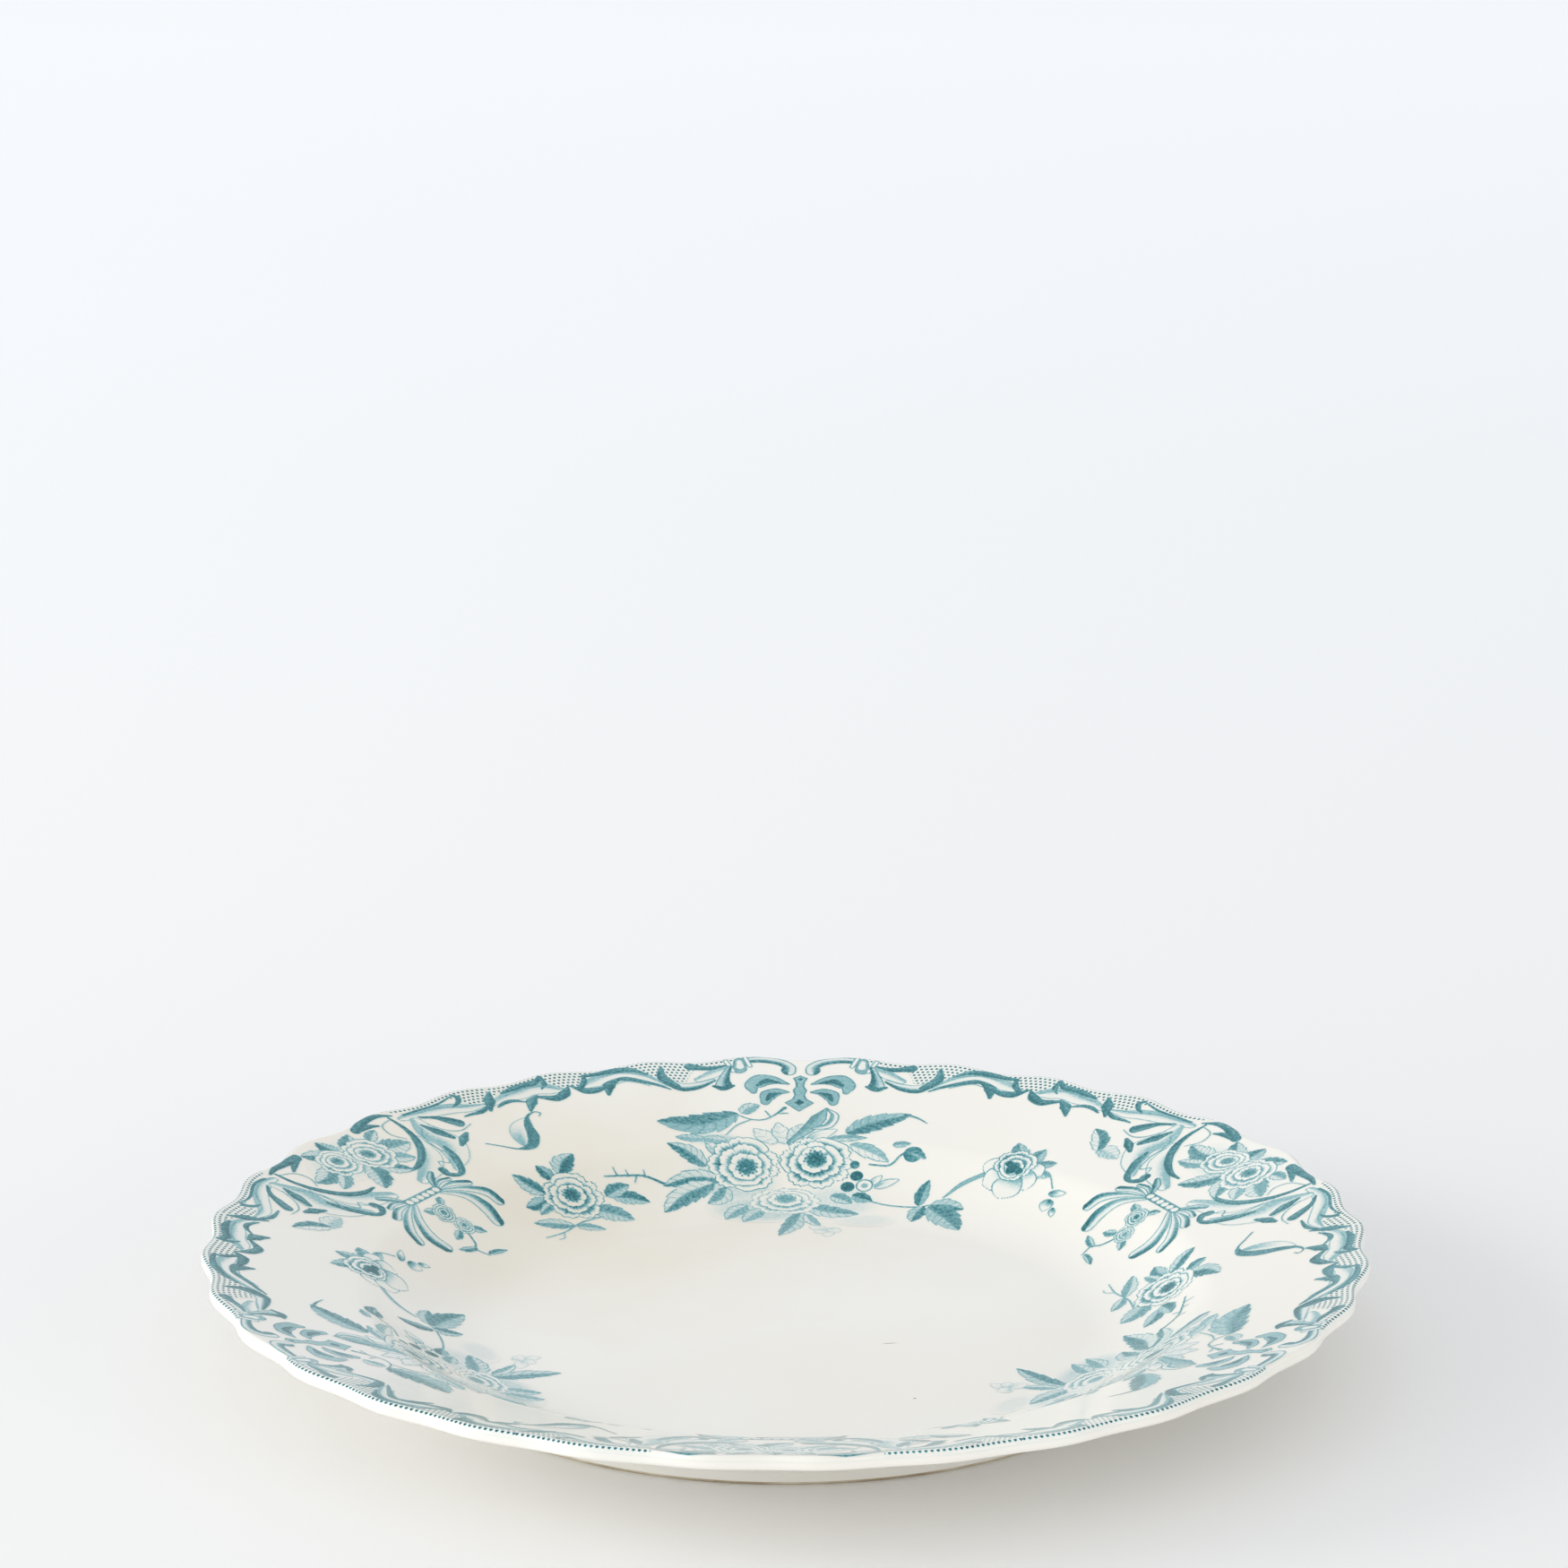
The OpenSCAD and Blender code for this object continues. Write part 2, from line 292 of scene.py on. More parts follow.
outer_foot = foot_r + glaze_t
face_profile = np.vstack([
    layer(stations(14, 26, 14, 26), 0), lip(0),
    back_line(np.linspace(rim_r - 0.66, outer_foot + foot_fillet, 30), glaze_t),
    backwards(foot_corner(outer_foot, glaze_t, 1)), bead(foot_r, 1), backwards(foot_corner(foot_r, 0, 1)),
    back_line(np.linspace(foot_r + foot_fillet, rim_r - glaze_t - lip_round, 8), 0),
    backwards(lip(glaze_t)[::3]),
    backwards(layer(stations(2, 6, 5, 4) * (1 - glaze_t / rim_r), glaze_t))])
inner_foot = foot_in - glaze_t
recess_profile = np.vstack([
    back_line(np.linspace(0, foot_in - foot_fillet, 12), 0),
    backwards(foot_corner(foot_in, 0, -1)), backwards(bead(foot_in, -1)),
    foot_corner(inner_foot, glaze_t, -1),
    back_line(np.linspace(inner_foot - foot_fillet, 0, 24), glaze_t)])
face_skin = turned_piece("face_glaze_skin", face_profile)
recess_skin = turned_piece("recess_glaze_skin", recess_profile, 264)

fired = bpy.data.node_groups.new("fired_glaze", "ShaderNodeTree")
for socket, kind in (("Color", "NodeSocketColor"), ("Roughness", "NodeSocketFloat"),
                     ("Height", "NodeSocketFloat")):
    fired.interface.new_socket(socket, in_out="OUTPUT", socket_type=kind)
place = add_node(fired, "ShaderNodeTexCoord").outputs["Object"]
cloud = add_node(fired, "ShaderNodeTexNoise", {"Vector": place, "Scale": 14, "Detail": 3})
cloud_share = add_node(fired, "ShaderNodeMapRange",
                       {"Value": cloud.outputs[0], "From Min": 0.35, "From Max": 0.7})
cream = add_node(fired, "ShaderNodeMix", {"Factor": cloud_share.outputs[0], "A": daylight(249, 247, 240),
                                          "B": daylight(246, 243, 234)}, data_type="RGBA")
# Painted shade: a warm darkening over the wall at the back left, beside the first bouquet, where that side of
# the well lies in shade
painted_shade_place = add_node(fired, "ShaderNodeMapping", {"Vector": place, "Location": (0.62, -0.85, -0.16),
                                                   "Scale": (12, 15, 10)})
painted_shade_spread = add_node(fired, "ShaderNodeVectorMath", {0: painted_shade_place.outputs[0]}, operation="LENGTH")
painted_shade_cloud = add_node(fired, "ShaderNodeTexNoise", {"Vector": place, "Scale": 38, "Detail": 5})
painted_shade_sum = add_node(fired, "ShaderNodeMath", {0: painted_shade_spread.outputs["Value"], 1: painted_shade_cloud.outputs[0]})
painted_shade_share = add_node(fired, "ShaderNodeMapRange",
                       {"Value": painted_shade_sum.outputs[0], "From Min": 1.5, "From Max": 0.5,
                                                    "To Max": 0.5})
# Painted shade: the cream is mixed towards a warm darker tone over that part of the wall.
shade_painted = add_node(fired, "ShaderNodeMix", {"Factor": painted_shade_share.outputs[0], "A": cream.outputs["Result"],
                                            "B": daylight(232, 220, 192)}, data_type="RGBA")
# Iron specks in the clay show through as scattered dark pin pricks
speck_place = add_node(fired, "ShaderNodeTexVoronoi", {"Vector": place, "Scale": 62})
speck_pick = add_node(fired, "ShaderNodeSeparateColor", {0: speck_place.outputs["Color"]})
speck_near = add_node(fired, "ShaderNodeMath", {0: speck_place.outputs["Distance"], 1: 0.018},
                      operation="LESS_THAN")
speck_few = add_node(fired, "ShaderNodeMath", {0: speck_pick.outputs[0], 1: 0.035}, operation="LESS_THAN")
speck = add_node(fired, "ShaderNodeMath", {0: speck_near.outputs[0], 1: speck_few.outputs[0]},
                 operation="MULTIPLY")
specked = add_node(fired, "ShaderNodeMix", {"Factor": speck.outputs[0], "A": shade_painted.outputs["Result"],
                                            "B": daylight(120, 96, 74)}, data_type="RGBA")
# Wear in the well: a short scratch that has taken up tea, a pin hole, and a yellow spot up the wall
glaze_colour = specked.outputs["Result"]
for middle, half_sizes, turn, colour in (((22.8, -11), (1.7, 0.2), 12, (132, 122, 104)),
                                         ((28.5, -43.2), (0.4, 0.3), 0, (112, 102, 88)),
                                         ((72.3, -27.7), (0.9, 0.6), 30, (208, 184, 128))):
    mark_place = add_node(fired, "ShaderNodeMapping", {
        "Vector": place, "Location": (middle[0] * MM, middle[1] * MM, 6 * MM),
        "Rotation": (0, 0, math.radians(turn)),
        "Scale": (half_sizes[0] * MM, half_sizes[1] * MM, 3 * MM)}, vector_type="TEXTURE")
    mark_away = add_node(fired, "ShaderNodeVectorMath", {0: mark_place.outputs[0]}, operation="LENGTH")
    mark_share = add_node(fired, "ShaderNodeMapRange", {"Value": mark_away.outputs["Value"], "From Min": 1.2,
                                                       "From Max": 0.6, "To Max": 0.8})
    marked = add_node(fired, "ShaderNodeMix", {"Factor": mark_share.outputs[0], "A": glaze_colour,
                                               "B": daylight(*colour)}, data_type="RGBA")
    glaze_colour = marked.outputs["Result"]
smear = add_node(fired, "ShaderNodeTexNoise", {"Vector": place, "Scale": 90, "Detail": 6})
gloss = add_node(fired, "ShaderNodeMapRange", {"Value": smear.outputs[0], "From Min": 0.3, "From Max": 0.7,
                                              "To Min": 0.07, "To Max": 0.14})
swell = add_node(fired, "ShaderNodeTexNoise", {"Vector": place, "Scale": 55, "Detail": 2})
orange_peel = add_node(fired, "ShaderNodeTexNoise", {"Vector": place, "Scale": 420, "Detail": 1})
skin_height = add_node(fired, "ShaderNodeMath", {0: orange_peel.outputs[0], 1: 0.1, 2: swell.outputs[0]},
                       operation="MULTIPLY_ADD")
add_node(fired, "NodeGroupOutput", {"Color": glaze_colour, "Roughness": gloss.outputs[0],
                                    "Height": skin_height.outputs[0]})


def gloss_finish(name):
    """A material whose roughness and gentle ripple come from the fired glaze group; its colour is
    given back too, for the print to go on."""
    material, tree, shader = blank_material(name)
    glaze = add_node(tree, "ShaderNodeGroup", node_tree=fired)
    ripple = add_node(tree, "ShaderNodeBump", {"Height": glaze.outputs["Height"], "Distance": 0.00006,
                                              "Strength": 1.0})
    tree.links.new(glaze.outputs["Roughness"], shader.inputs["Roughness"])
    tree.links.new(ripple.outputs[0], shader.inputs["Normal"])
    shader.inputs["IOR"].default_value = 1.5
    return material, tree, shader, glaze.outputs["Color"]


clear_glaze, tree, shader, glaze_colour = gloss_finish("cream_gloss_glaze")
tree.links.new(glaze_colour, shader.inputs["Base Color"])
for skin, node in ((face_skin, "face_glaze"), (recess_skin, "foot_glaze")):
    skin.data.materials.append(clear_glaze)
    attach(skin, "root")
    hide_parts(node)

# ---- Border print ----
# Engraved transfers in one blue-green colour. The border comes as three strips: a net of fine dots
# along the edge, shut in by acanthus scrolls, with a palmette at the middle of each strip. A film is
# drawn flat and laid just above the glaze, and shows the glaze wherever it has no ink.
film_lift = 0.028
print_start = -0.2
soft_edge = 0.22
ink_line = 0.3
along_per_degree = 2.112
fine_radii = np.arange(0, 131, 0.1)
flat_radii = np.concatenate([[0], np.cumsum(np.hypot(np.diff(fine_radii), np.diff(face_height(fine_radii))))])


def smooth_line(points, steps=7):
    """A Catmull-Rom curve through the points, cut into even shares of each span."""
    p = np.asarray(points, float)
    p = np.vstack([2 * p[0] - p[1], p, 2 * p[-1] - p[-2]])
    a, b, c, d = (p[i:len(p) - 3 + i, None] for i in range(4))
    t = np.linspace(0, 1, steps, endpoint=False)[:, None]
    spans = b + 0.5 * ((c - a) * t + (2 * a - 5 * b + 4 * c - d) * t ** 2 + (3 * b - a - 3 * c + d) * t ** 3)
    return np.vstack([spans.reshape(-1, 2), p[-2]])


def place_along(x, y, line):
    """Where each point lies beside a line: its share of the way along, and how far off it is, counted
    positive on the side that a quarter turn from x to y points to."""
    nearest = np.full(len(x), np.inf)
    share, across = np.zeros(len(x)), np.zeros(len(x))
    for i, (start, step) in enumerate(zip(line[:-1], np.diff(line, axis=0))):
        dx, dy = x - start[0], y - start[1]
        t = np.clip((dx * step[0] + dy * step[1]) / (step @ step), 0, 1)
        away = (dx - t * step[0]) ** 2 + (dy - t * step[1]) ** 2
        closer = away < nearest
        side = np.sign(step[0] * dy - step[1] * dx)
        nearest = np.where(closer, away, nearest)
        share = np.where(closer, (i + t) / (len(line) - 1), share)
        across = np.where(closer, side * np.sqrt(away), across)
    return share, across


def ease(low, high, value):
    """Runs from 0 at low to 1 at high, level at both ends."""
    t = np.clip((value - low) / (high - low), 0, 1)
    return t * t * (3 - 2 * t)


class Transfer:
    """A film over part of the face, as a grid of angles from the middle of its motif and distances in
    from the mean edge, less than 0 where it hangs down the wall of the lip. Ink runs from 0, bare, to
    1, full; net is the share of the dotted net. The drawing strokes work in x and y, in mm, which
    facing() or along_edge() lay over the film."""

    def __init__(self, half_angle, start, end, pitch):
        half = math.radians(half_angle)
        angle = np.linspace(-half, half, int(2 * half * (rim_r - start) / pitch))
        inward = np.linspace(max(start, lip_round), end, int(1.06 * (end - max(start, 0)) / pitch))
        if start < lip_round:
            over_lip = lip_round * (1 - np.sin(np.radians(np.linspace(90, 0, 11))))
            inward = np.concatenate([np.arange(start, -0.05, 0.14), over_lip[:-1], inward])
        self.shape = (len(angle), len(inward))
        self.angle, self.inward = (grid.ravel() for grid in np.meshgrid(angle, inward, indexing="ij"))
        self.flat = np.interp(rim_r - self.inward, fine_radii, flat_radii)
        self.ink = np.zeros(len(self.flat))
        self.net = np.zeros(len(self.flat))
        self.only = np.ones(len(self.flat), bool)
        self.facing(0)

    def facing(self, degrees):
        """x runs across and y outwards on the flattened face, about an axis at this angle."""
        turn = self.angle - math.radians(degrees)
        self.x, self.y = self.flat * np.sin(turn), self.flat * np.cos(turn)

    def along_edge(self, start, direction):
        """x runs along the edge from the middle of the film, the same way on both sides, and y inwards."""
        self.x = start + direction * np.abs(np.degrees(self.angle)) * along_per_degree
        self.y = self.inward

    def near(self, points, margin):
        low, high = np.min(points, 0) - margin, np.max(points, 0) + margin
        return np.flatnonzero(self.only & (self.x > low[0]) & (self.x < high[0])
                              & (self.y > low[1]) & (self.y < high[1]))

    def lay(self, here, depth, tone):
        """Prints tone wherever depth, the distance inside the shape, is above 0, over what is there."""
        cover = np.clip(depth / soft_edge + 0.5, 0, 1)
        self.ink[here] += cover * (np.clip(tone, 0, 1) - self.ink[here])
        self.net[here] *= 1 - cover

    def brush(self, points, widths, dark_side=0, ink=(0.12, 0.85), outline=0.0, fade=(1, 1)):
        """A scroll or stem: a curve of varying width, dark all over or towards one side, with an
        outline and a change of depth from its start to its end."""
        line = smooth_line(points)
        here = self.near(line, max(widths) / 2 + soft_edge)
        share, across = place_along(self.x[here], self.y[here], line)
        half = np.interp(share, np.linspace(0, 1, len(widths)), widths) / 2
        depth = half - np.abs(across)
        lean = across / np.maximum(half, 0.05) * dark_side
        tone = ink[0] + (ink[1] - ink[0]) * (ease(-0.35, 0.55, lean) if dark_side else 1)
        tone = tone * np.interp(share, [0, 1], fade)
        tone = np.maximum(tone, outline * (1 - ease(0.6 * ink_line, 1.4 * ink_line, depth)))
        self.lay(here, depth, tone)

    def leaf(self, base, tip, width, bend=0.0, teeth=4, ink=(0.18, 0.72), dark_side=1, outline=0.6,
             swell=0.8):
        """A leaf or petal about a bent midrib: half its width is a sine arch, bitten into teeth that
        point to the tip; one half is dark, and side veins slant from the midrib."""
        base, tip = np.array(base, float), np.array(tip, float)
        normal = np.array([base[1] - tip[1], tip[0] - base[0]])
        line = smooth_line([base, (base + tip) / 2 + bend * normal / np.linalg.norm(normal), tip])
        here = self.near(line, width / 2 + soft_edge)
        share, across = place_along(self.x[here], self.y[here], line)
        half = width / 2 * np.abs(np.sin(np.pi * share ** swell)) ** 0.7
        if teeth:
            half = half * (0.8 + 0.2 * ((teeth * share + 0.5) % 1) ** 0.8)
        depth = half - np.abs(across)
        inner = np.abs(across) / np.maximum(half, 0.05)
        shade = ease(-0.3, 0.3, across / np.maximum(half, 0.05) * dark_side)
        tone = ink[0] + (ink[1] - ink[0]) * shade * (1 - 0.35 * inner)
        if teeth:
            slant = np.abs(((teeth + 1) * share * 1.4 - 0.9 * inner) % 1 - 0.5) * 2
            tone = tone + 0.22 * ease(0.7, 1, slant) * (inner > 0.1)
            tone = np.maximum(tone, 0.95 * ink[1] * (1 - ease(0.06, 0.26, np.abs(across))))
        else:
            tone = tone * (1 - ease(0, 0.75, share)) + 0.04
        tone = np.maximum(tone, outline * (1 - ease(0.5 * ink_line, 1.3 * ink_line, depth)))
        self.lay(here, depth, tone)

    def disc(self, middle, radius, tone, outline=0.0, squash=1.0):
        """A round or oval spot, squash times as high as it is wide."""
        here = self.near([middle], radius * max(1, squash) + soft_edge)
        depth = radius - np.hypot(self.x[here] - middle[0], (self.y[here] - middle[1]) / squash)
        self.lay(here, depth, np.maximum(tone, outline * (1 - ease(0.6 * ink_line, 1.4 * ink_line, depth))))

    def wash(self, middle, reach, tone):
        """A soft patch of stipple that fades out to its edge, under whatever is drawn later."""
        here = self.near([middle], max(reach))
        away = np.hypot((self.x[here] - middle[0]) / reach[0], (self.y[here] - middle[1]) / reach[1])
        self.ink[here] = np.maximum(self.ink[here], tone * (1 - ease(0.45, 1, away)))

    def rose(self, middle, radius, lean=(0, 0), petals=(7, 6, 5), ink=0.9, turn=0.0, squash=1.0):
        """A full-blown rose: rings of uneven petals laid from the outside in, each with a ruffled white
        edge and a dark foot that is deepest on one side, and a stippled heart."""
        here = self.near([middle], 1.3 * radius)
        sizes = (1.0, 0.76, 0.5)
        for ring, (size, count) in enumerate(zip(sizes, petals)):
            inner = (sizes + (0.2,))[ring + 1] / size
            u = self.x[here] - middle[0] - lean[0] * (1 - size) * radius
            v = (self.y[here] - middle[1] - lean[1] * (1 - size) * radius) / squash
            around = np.arctan2(v, u)
            uneven = (around + turn + 1.3 * ring + 0.24 * np.sin(2 * around + turn)
                      + 0.16 * np.sin(3 * around + ring))
            lobe = np.abs(np.cos(count * uneven / 2))
            edge = 0.82 + 0.17 * lobe ** 0.55 + 0.03 * np.cos(4 * count * uneven + 2 * ring) * lobe
            reach = np.hypot(u, v) / (radius * size * edge)
            deep = 0.62 + 0.38 * np.cos(around + 2.2 - 1.7 * ring + turn)
            foot = 1 - ease(inner * 0.9, inner + (0.3 + 0.3 * deep) * (1 - inner), reach)
            streak = 0.8 + 0.2 * np.cos(7 * count * uneven)
            tone = ink * foot * streak * (0.5 + 0.5 * deep) + 0.03
            tone = tone + 0.3 * ink * (1 - ease(0.02, 0.2, lobe)) * ease(inner, 0.8, reach)
            tone = tone + 0.14 * ink * ease(0.5, 1, np.cos(3 * count * uneven)) * ease(0.95, inner, reach)
            depth = (1 - reach) * radius * size
            tone = np.maximum(tone, 0.85 * ink * (1 - ease(0.4 * ink_line, 1.1 * ink_line, depth)))
            self.lay(here, depth, tone)
        heart_x, heart_y = (middle[side] + 0.7 * lean[side] * radius for side in (0, 1))
        for step in range(30):
            away = 0.32 * radius * math.sqrt((step + 0.5) / 30)
            seed = (heart_x + away * math.cos(2.4 * step), heart_y + away * math.sin(2.4 * step) * squash)
            self.disc(seed, (0.06 - 0.032 * step / 30) * radius, ink * (1 - 0.3 * step / 30))



def draw_edging(film):
    """Everything that follows the edge, from a palmette at x = 0 to a cartouche at x = 126.7: first the
    net, then the pale bodies of the scrolls, then their dark backs and hooks."""
    net_x = (13, 17.5, 22, 24, 26.5, 28, 31, 33, 35, 38.5, 41, 45, 50, 52, 53, 56, 58, 61, 62.5, 66, 73,
             75, 77,
             79, 82, 84, 85.5, 90, 97, 101, 104)
    net_y = (0.5, 2.5, 3, 2, 5.5, 8.8, 8.8, 8.5, 8, 4.4, 3, 2, 2.4, 3.2, 6.4, 7.4, 7, 6.6, 3.2, 2.8, 3.4,
             4, 5.7,
             8, 8.4, 5.8, 3, 2.7, 2.5, 2.4, 1)
    limit = np.interp(film.x, net_x, net_y, left=0, right=0)
    film.net = np.maximum(film.net, ease(-0.2, 0.2, limit - film.y))
    pale_bodies = [
        ([(17.5, 5), (21, 6), (25, 8)], (2.2, 3.6, 2.0)),
        ([(33, 10.6), (37.5, 6.8), (42, 3.8), (46, 3.6), (50, 5.4), (54, 7.4)],
         (0.8, 3.2, 3.4, 3.4, 4.0, 1.6)),
        ([(58, 8.2), (61.5, 6.8), (65, 5.2), (69, 5.4), (73, 5.8), (78, 8)], (1.5, 4.0, 4.6, 4.4, 3.6, 1.5)),
        ([(79.6, 8), (84, 8), (88, 6.2), (93, 4.6), (98, 4.4), (102, 4.8)], (1.2, 3.0, 3.8, 4.2, 3.6, 2)),
        ([(99.5, 6.5), (100, 12), (98.5, 17), (101, 22), (106, 26)], (3, 7, 8, 6, 2)),
        ([(105, 13), (107.5, 19), (113, 23), (119.5, 25.4)], (3, 6, 6.4, 3))]
    for points, widths in pale_bodies:
        film.brush(points, widths, -1, ink=(0.05, 0.36), outline=0.45)
    film.brush([(12.6, 2.3), (8.5, 1.9), (4.9, 2.3), (2.9, 3.8), (2.9, 5.4)], (2.2, 2.5, 2.7, 3.2, 3.6), -1,
               ink=(0.14, 0.86), outline=0.7)
    film.brush([(14.4, 2.4), (14.5, 5.4)], (2.6, 3.6), ink=(0.1, 0.5), outline=0.75)
    film.brush([(14.4, 2.6), (14.3, 4.6)], (1.2, 1.8), ink=(0.1, 0.06))
    for points in ([(12.9, 1.2), (12, 4.6)], [(17.5, 1.6), (16.1, 6)]):
        film.brush(points, (1.3, 1.3), ink=(0, 0.03), outline=0.6)
    film.brush([(16.9, 4.4), (18.1, 7), (18.9, 9.4), (19.1, 11)], (1.4, 2.2, 3.4, 4.4), 1, ink=(0.26, 0.9),
               outline=0.75)
    film.brush([(16.6, 11.8), (18.9, 12.4), (21.6, 11)], (0.8, 1.6, 0.8), ink=(0.8, 0.9))
    film.brush([(21.4, 8.6), (25.5, 10.4), (29.5, 11.1), (32.2, 9.2)], (1.4, 2.8, 3.4, 3.0), 1,
               ink=(0.1, 0.9),
               outline=0.5)
    dark_strokes = [
        ([(17.8, 3.4), (21.5, 3.6), (24.2, 3), (26, 2.6)], (0.7, 1.5, 2.0, 2.8)),
        ([(30.6, 10.8), (33.3, 7.5), (32.8, 3.1)], (1.8, 2.8, 0.7)),
        ([(32.5, 12), (37.5, 8.8), (42.5, 5.7), (45.2, 5.9)], (0.5, 1.2, 1.5, 1.0)),
        ([(44.4, 5.6), (47, 7.4), (48.3, 10.8)], (1.2, 3.2, 0.9)),
        ([(47.4, 7.2), (50.5, 8.6), (53.5, 8.7), (56.2, 6.7)], (0.8, 2.0, 2.6, 0.6)),
        ([(36.6, 5.8), (40, 3), (44, 1.9), (48, 2.1), (51.8, 2.8)], (0.5, 1.6, 2.0, 1.4, 1.0)),
        ([(51.6, 2.4), (52.3, 5), (54.2, 7.6)], (0.7, 1.5, 1.2)),
        ([(56.8, 6.9), (58.6, 9.3), (61.5, 10.5), (64.5, 9), (66.4, 7.8)], (0.5, 2.6, 2.4, 1.3, 0.5)),
        ([(65.8, 7.9), (68.2, 9.4), (70.3, 12.4)], (0.9, 3.2, 0.8)),
        ([(69.4, 8.9), (72, 7.5), (74.5, 7.7), (77.2, 9.3)], (0.4, 1.2, 1.3, 0.5)),
        ([(61.8, 1.7), (63.8, 3.1), (66.5, 2.8), (70, 2.9), (73.4, 3.8)], (1.0, 2.0, 1.8, 1.8, 0.6)),
        ([(61.8, 1.6), (61.8, 4.4), (63.3, 6)], (1.2, 1.5, 0.4)),
        ([(76.1, 3.3), (77.8, 6.5), (79.8, 10.4)], (0.8, 2.8, 0.7)),
        ([(79.6, 8.9), (82.4, 10.2), (87.2, 10.1)], (0.9, 1.4, 0.5)),
        ([(84.9, 1.9), (84.1, 3.5), (85.3, 5.1), (87.2, 5.8)], (0.6, 1.5, 1.2, 0.4)),
        ([(85.2, 2.3), (89.5, 2.9), (95.5, 2.6), (100.5, 3.4)], (0.4, 0.7, 0.7, 0.8)),
        ([(97.8, 5.2), (94.4, 6.8), (92.3, 9), (90.4, 11.4)], (0.6, 1.3, 2.4, 2.8)),
        ([(99.6, 8.4), (98, 12), (96.2, 15.2)], (0.7, 2.8, 1.5)),
        ([(91.6, 15.3), (94, 16.8), (96.6, 18.8)], (1.0, 2.6, 1.0)),
        ([(101.2, 17.8), (102.2, 22), (105, 26.6), (107.8, 28), (110.4, 26.6), (110.2, 25)],
         (0.9, 2.2, 1.9, 1.2, 2.2, 2.6)),
        ([(103.4, 3), (107, 1.8), (111.5, 1.7), (115.6, 2.6)], (0.6, 1.6, 2.6, 2.6)),
        ([(109.2, 5), (111.6, 3.8), (115, 3.4)], (0.6, 1.6, 0.8)),
        ([(104.6, 3.4), (104.4, 8.6), (105.8, 13.8), (109.6, 18.2), (114.6, 20.6), (119, 21)],
         (0.6, 1.2, 1.9, 2.1, 1.5, 0.6))]
    for points, widths in dark_strokes:
        film.brush(points, widths, 1, ink=(0.72, 0.9), outline=0.9)
    hair_lines = [
        [(100.6, 9.8), (103, 13), (103.3, 18.5), (101.4, 22)],
        [(104.6, 4.2), (108.6, 5.6), (109.4, 9), (107.4, 12)],
        [(104, 14.5), (103.6, 19), (105.5, 23.4), (108, 22), (109.4, 25)], [(37, 10.2), (42, 6.9), (45, 7)],
        [(33.8, 9.8), (38, 5.6), (43, 3.2), (48, 3.4)], [(59.4, 7.6), (63, 5), (68, 4), (74, 5.2)],
        [(81, 7.4), (86, 6.6), (92, 3.8), (99, 3.6)], [(88, 13), (92, 13.8), (95.4, 12.2), (98, 8.6)]]
    for points in hair_lines:
        film.brush(points, (0.3, 0.42, 0.3), ink=(0.5, 0.55))


def draw_hooked_sprigs(film, ringed_side):
    """Beside each cartouche, on one side a leaf with a long tendril, on the other a plain pair of leaves."""
    film.only = film.angle * ringed_side > 0
    film.leaf((80.5, 25.6), (72.6, 14.6), 6.5, 0.8, 0, ink=(0.1, 0.5), dark_side=1, outline=0.45)
    film.brush([(69.4, 15), (68.5, 14), (70, 13.1), (72.6, 14.5), (74.4, 18), (75.6, 22), (78.6, 25.4),
                (83, 25.6),
                (87, 23), (90, 20.8)], (0.3, 0.4, 0.4, 0.9, 2.2, 3.2, 2.6, 0.6, 0.4, 0.4), ink=(0.1, 0.8))
    film.only = film.angle * ringed_side < 0
    film.leaf((87.4, 21.4), (96, 22.6), 5.6, -0.6, 3, ink=(0.12, 0.3), outline=0.45)
    film.leaf((88.4, 22.2), (81, 15.4), 5.2, 0.7, 3, ink=(0.1, 0.85), dark_side=1, outline=0.6)
    film.only = np.ones(len(film.x), bool)


border = Transfer(36, print_start, 28, 0.21)
border.along_edge(0, 1)
draw_edging(border)
draw_hooked_sprigs(border, -1)
lobes = [([(2.9, 10.8), (6.5, 9.8), (9.8, 10.4), (11.9, 12.4), (11.8, 14.6)], (0.6, 3.2, 4.8, 4.2, 1.8),
          [(5, 10.7), (8.2, 10.4), (10.6, 12.2)]),
         ([(2.9, 14.2), (5.6, 14.4), (8.2, 16.2), (9, 18.6)], (0.6, 2.8, 4.2, 2.6),
          [(5.2, 14.8), (7.4, 16), (8.5, 17.9)])]
for points, widths, heart in lobes:
    border.brush(points, widths, ink=(0.3, 0.42), outline=0.85)
    border.brush(heart, (0.6, 1.9, 0.9), ink=(0.9, 0.9))
all_of_it = np.arange(len(border.x))
drop_half = np.interp(border.y, (6.8, 8.3, 9.8, 11.6, 13.4, 15.4, 17, 18.7, 22.6),
                      (-0.4, 1.8, 1.2, 1.0, 1.8, 1.3, 1.9, 3.9, -0.4))
drop_depth = np.where((border.y > 6.8) & (border.y < 22.6), (drop_half - border.x) * 0.8, -1)
drop_tone = np.maximum(0.4, 0.85 * (1 - ease(0.6 * ink_line, 1.5 * ink_line, drop_depth)))
border.lay(all_of_it, drop_depth, drop_tone)
for drop_y, drop_r in ((18.4, 1.3), (8.6, 0.7)):
    border.lay(all_of_it, (drop_r - border.x - np.abs(border.y - drop_y)) * 0.8, 0.95)


def scalloped(r, angle):
    """Radius that a point of the mean face moves to as the scallops push the edge in and out."""
    share = np.clip((r - verge_r - verge_round) / (rim_r - lip_round - verge_r - verge_round), 0, 1) ** 2
    return r + share * (3 - 2 * np.sqrt(share)) * edge_shift(angle)


